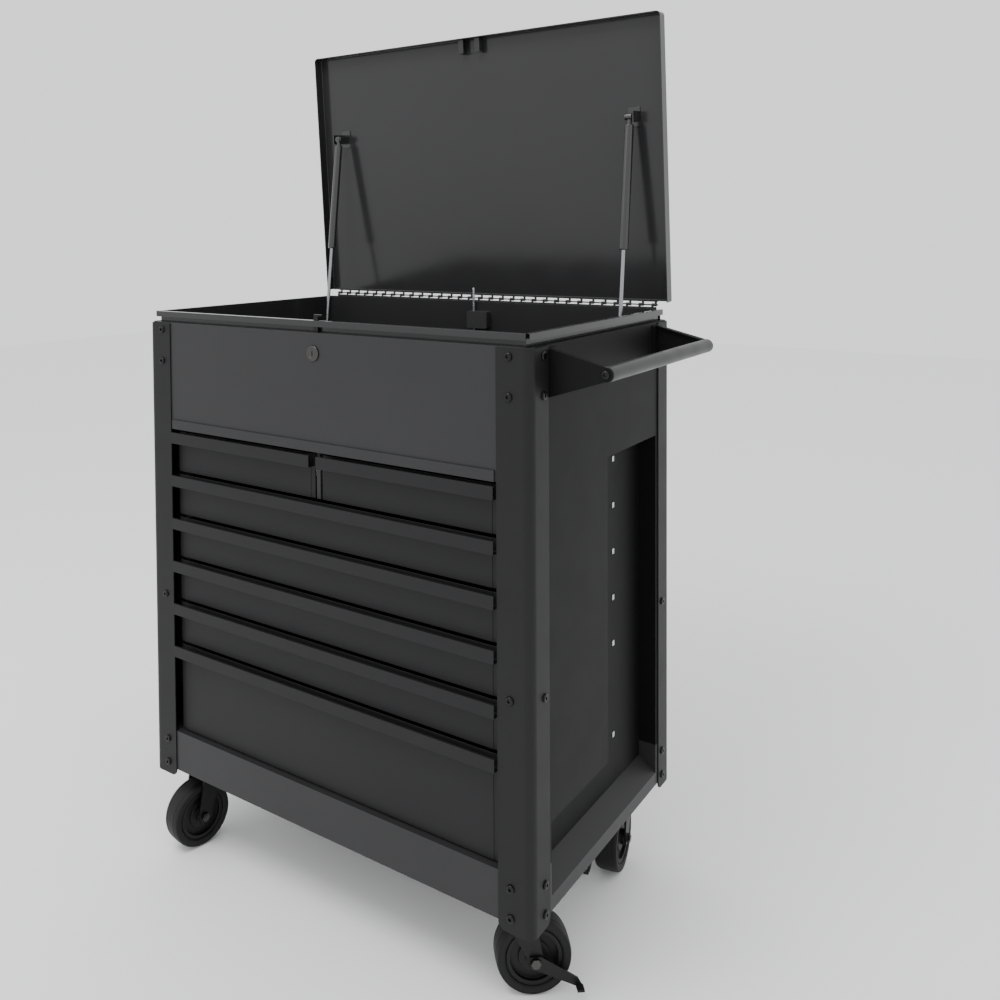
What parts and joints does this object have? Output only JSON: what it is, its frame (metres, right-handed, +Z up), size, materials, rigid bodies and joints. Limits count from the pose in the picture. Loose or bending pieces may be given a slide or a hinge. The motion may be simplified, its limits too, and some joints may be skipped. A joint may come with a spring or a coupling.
{
  "type": "rolling tool chest",
  "caption": "Black steel rolling tool cabinet with drawers, a flip-up lid on gas struts, a side push handle and four swivel casters, two of them braked.",
  "frame": {"origin": "on the floor, under the middle of the cabinet over its corner posts", "axes": "+Z up, +X to the right seen from the front (the handle side), -Y out of the drawer fronts"},
  "size_m": [1.0031, 0.6004, 1.6855],
  "materials": {
    "black_screw": "black oxide",
    "caster_steel": "black paint",
    "handle_satin": "smooth satin paint",
    "lock_metal": "dark nickel",
    "powder_coat": "satin black powder coat",
    "strut_bright": "hard chrome",
    "strut_tube": "gloss black enamel",
    "tyre": "rubber",
    "wheel_core": "moulded, semi-matte",
    "zinc": "bright zinc plate"
  },
  "bodies": {
    "cabinet": {"side_panel_right": "powder_coat", "side_panel_left": "powder_coat", "back_panel": "powder_coat", "base_pan": "powder_coat", "front_panel": "powder_coat", "top_tray": "powder_coat", "corner_post_front_left": "powder_coat", "corner_post_front_right": "powder_coat", "corner_post_rear_left": "powder_coat", "corner_post_rear_right": "powder_coat", "body_screws": "black_screw", "drawer_divider": "powder_coat", "slide_columns": "powder_coat", "slide_outer_members": "zinc", "hinge_body_leaf": "powder_coat", "strut_lower_studs": "strut_tube", "lock_housing": "lock_metal", "lock_rod_guide": "strut_tube", "handle_brackets": "powder_coat", "handle_grip": "handle_satin", "caster_plates": "caster_steel"},
    "lid": {"lid": "powder_coat", "hinge_lid_leaf": "powder_coat", "lid_catch": "powder_coat", "strut_upper_studs": "strut_tube"},
    "strut_cylinder_left": {"strut_cylinder_left": "strut_tube"},
    "strut_cylinder_right": {"strut_cylinder_right": "strut_tube"},
    "strut_rod_left": {"strut_rod_left": "strut_bright"},
    "strut_rod_right": {"strut_rod_right": "strut_bright"},
    "lock_plug": {"lock_plug": "lock_metal"},
    "latch_hook": {"latch_hook": "strut_tube"},
    "lock_rod": {"lock_rod": "zinc"},
    "drawer_1_left": {"drawer_1_left": "powder_coat"},
    "slide_middle_1_left": {"slide_middle_1_left": "zinc"},
    "drawer_1_right": {"drawer_1_right": "powder_coat"},
    "slide_middle_1_right": {"slide_middle_1_right": "zinc"},
    "drawer_2": {"drawer_2": "powder_coat"},
    "slide_middle_2": {"slide_middle_2": "zinc"},
    "drawer_3": {"drawer_3": "powder_coat"},
    "slide_middle_3": {"slide_middle_3": "zinc"},
    "drawer_4": {"drawer_4": "powder_coat"},
    "slide_middle_4": {"slide_middle_4": "zinc"},
    "drawer_5": {"drawer_5": "powder_coat"},
    "slide_middle_5": {"slide_middle_5": "zinc"},
    "drawer_6": {"drawer_6": "powder_coat"},
    "slide_middle_6": {"slide_middle_6": "zinc"},
    "wheel_front_left": {"wheel_front_left": "wheel_core", "tyre_front_left": "tyre"},
    "caster_fork_front_left": {"caster_fork_front_left": "caster_steel"},
    "wheel_front_right": {"wheel_front_right": "wheel_core", "tyre_front_right": "tyre"},
    "caster_fork_front_right": {"caster_fork_front_right": "caster_steel"},
    "brake_pedal_front_right": {"brake_pedal_front_right": "caster_steel"},
    "wheel_rear_left": {"wheel_rear_left": "wheel_core", "tyre_rear_left": "tyre"},
    "caster_fork_rear_left": {"caster_fork_rear_left": "caster_steel"},
    "wheel_rear_right": {"wheel_rear_right": "wheel_core", "tyre_rear_right": "tyre"},
    "caster_fork_rear_right": {"caster_fork_rear_right": "caster_steel"},
    "brake_pedal_rear_right": {"brake_pedal_rear_right": "caster_steel"}
  },
  "joints": [
    {"name": "lid_hinge", "type": "hinge", "parent": "cabinet", "child": "lid", "pos_m": [0, 0.2831, 1.108], "axis": [1, 0, 0], "range_deg": [0, 86]},
    {"name": "strut_turn_left", "type": "hinge", "parent": "lid", "child": "strut_cylinder_left", "pos_m": [-0.378, 0.243, 1.484], "axis": [1, 0, 0], "range_deg": [-9.79, 0]},
    {"name": "strut_slide_left", "type": "slide", "parent": "strut_cylinder_left", "child": "strut_rod_left", "axis": [0, 0.1166, 0.9932], "range_m": [0, 0.19933]},
    {"name": "strut_turn_right", "type": "hinge", "parent": "lid", "child": "strut_cylinder_right", "pos_m": [0.378, 0.243, 1.484], "axis": [1, 0, 0], "range_deg": [-9.79, 0]},
    {"name": "strut_slide_right", "type": "slide", "parent": "strut_cylinder_right", "child": "strut_rod_right", "axis": [0, 0.1166, 0.9932], "range_m": [0, 0.19933]},
    {"name": "lock_plunger", "type": "slide", "parent": "cabinet", "child": "lock_rod", "axis": [0, 0, 1], "range_m": [-0.0185, 0]},
    {"name": "lock_turn", "type": "hinge", "parent": "cabinet", "child": "lock_plug", "pos_m": [0, -0.2795, 1.043], "axis": [0, 1, 0], "range_deg": [0, 90]},
    {"name": "latch_slide", "type": "slide", "parent": "cabinet", "child": "latch_hook", "axis": [1, 0, 0], "range_m": [0, 0.008]},
    {"name": "drawer_1_left_slide", "type": "slide", "parent": "cabinet", "child": "drawer_1_left", "axis": [0, -1, 0], "range_m": [0, 0.45]},
    {"name": "slide_middle_1_left_slide", "type": "slide", "parent": "cabinet", "child": "slide_middle_1_left", "axis": [0, -1, 0], "range_m": [0, 0.225]},
    {"name": "drawer_1_right_slide", "type": "slide", "parent": "cabinet", "child": "drawer_1_right", "axis": [0, -1, 0], "range_m": [0, 0.45]},
    {"name": "slide_middle_1_right_slide", "type": "slide", "parent": "cabinet", "child": "slide_middle_1_right", "axis": [0, -1, 0], "range_m": [0, 0.225]},
    {"name": "drawer_2_slide", "type": "slide", "parent": "cabinet", "child": "drawer_2", "axis": [0, -1, 0], "range_m": [0, 0.45]},
    {"name": "slide_middle_2_slide", "type": "slide", "parent": "cabinet", "child": "slide_middle_2", "axis": [0, -1, 0], "range_m": [0, 0.225]},
    {"name": "drawer_3_slide", "type": "slide", "parent": "cabinet", "child": "drawer_3", "axis": [0, -1, 0], "range_m": [0, 0.45]},
    {"name": "slide_middle_3_slide", "type": "slide", "parent": "cabinet", "child": "slide_middle_3", "axis": [0, -1, 0], "range_m": [0, 0.225]},
    {"name": "drawer_4_slide", "type": "slide", "parent": "cabinet", "child": "drawer_4", "axis": [0, -1, 0], "range_m": [0, 0.45]},
    {"name": "slide_middle_4_slide", "type": "slide", "parent": "cabinet", "child": "slide_middle_4", "axis": [0, -1, 0], "range_m": [0, 0.225]},
    {"name": "drawer_5_slide", "type": "slide", "parent": "cabinet", "child": "drawer_5", "axis": [0, -1, 0], "range_m": [0, 0.45]},
    {"name": "slide_middle_5_slide", "type": "slide", "parent": "cabinet", "child": "slide_middle_5", "axis": [0, -1, 0], "range_m": [0, 0.225]},
    {"name": "drawer_6_slide", "type": "slide", "parent": "cabinet", "child": "drawer_6", "axis": [0, -1, 0], "range_m": [0, 0.45]},
    {"name": "slide_middle_6_slide", "type": "slide", "parent": "cabinet", "child": "slide_middle_6", "axis": [0, -1, 0], "range_m": [0, 0.225]},
    {"name": "swivel_front_left", "type": "hinge", "parent": "cabinet", "child": "caster_fork_front_left", "pos_m": [-0.365, -0.207, 0.14], "axis": [0, 0, 1], "continuous": true},
    {"name": "wheel_front_left_spin", "type": "hinge", "parent": "caster_fork_front_left", "child": "wheel_front_left", "pos_m": [-0.37056, -0.23851, 0.0635], "axis": [0.9848, -0.1736, 0], "continuous": true},
    {"name": "swivel_front_right", "type": "hinge", "parent": "cabinet", "child": "caster_fork_front_right", "pos_m": [0.365, -0.207, 0.14], "axis": [0, 0, 1], "continuous": true},
    {"name": "wheel_front_right_spin", "type": "hinge", "parent": "caster_fork_front_right", "child": "wheel_front_right", "pos_m": [0.38951, -0.18643, 0.0635], "axis": [-0.6428, 0.766, 0], "continuous": true},
    {"name": "brake_front_right", "type": "hinge", "parent": "caster_fork_front_right", "child": "brake_pedal_front_right", "pos_m": [0.38951, -0.18643, 0.0635], "axis": [0.6428, -0.766, 0], "range_deg": [0, 25]},
    {"name": "swivel_rear_left", "type": "hinge", "parent": "cabinet", "child": "caster_fork_rear_left", "pos_m": [-0.365, 0.207, 0.14], "axis": [0, 0, 1], "continuous": true},
    {"name": "wheel_rear_left_spin", "type": "hinge", "parent": "caster_fork_rear_left", "child": "wheel_rear_left", "pos_m": [-0.36779, 0.17512, 0.0635], "axis": [0.9962, -0.0872, 0], "continuous": true},
    {"name": "swivel_rear_right", "type": "hinge", "parent": "cabinet", "child": "caster_fork_rear_right", "pos_m": [0.365, 0.207, 0.14], "axis": [0, 0, 1], "continuous": true},
    {"name": "wheel_rear_right_spin", "type": "hinge", "parent": "caster_fork_rear_right", "child": "wheel_rear_right", "pos_m": [0.37056, 0.17549, 0.0635], "axis": [0.9848, 0.1736, 0], "continuous": true},
    {"name": "brake_rear_right", "type": "hinge", "parent": "caster_fork_rear_right", "child": "brake_pedal_rear_right", "pos_m": [0.37056, 0.17549, 0.0635], "axis": [-0.9848, -0.1736, 0], "range_deg": [0, 25]}
  ],
  "couplings": [
    {"joint": "strut_turn_left", "follows": "lid_hinge", "ratio": -0.1132},
    {"joint": "strut_slide_left", "follows": "lid_hinge", "m_per_rad": 0.13247},
    {"joint": "strut_turn_right", "follows": "lid_hinge", "ratio": -0.1132},
    {"joint": "strut_slide_right", "follows": "lid_hinge", "m_per_rad": 0.13247},
    {"joint": "lock_plunger", "follows": "lid_hinge", "m_per_rad": -0.011992},
    {"joint": "lock_turn", "follows": "latch_slide", "rad_per_m": 196.35},
    {"joint": "slide_middle_1_left_slide", "follows": "drawer_1_left_slide", "ratio": 0.5},
    {"joint": "slide_middle_1_right_slide", "follows": "drawer_1_right_slide", "ratio": 0.5},
    {"joint": "slide_middle_2_slide", "follows": "drawer_2_slide", "ratio": 0.5},
    {"joint": "slide_middle_3_slide", "follows": "drawer_3_slide", "ratio": 0.5},
    {"joint": "slide_middle_4_slide", "follows": "drawer_4_slide", "ratio": 0.5},
    {"joint": "slide_middle_5_slide", "follows": "drawer_5_slide", "ratio": 0.5},
    {"joint": "slide_middle_6_slide", "follows": "drawer_6_slide", "ratio": 0.5}
  ]
}
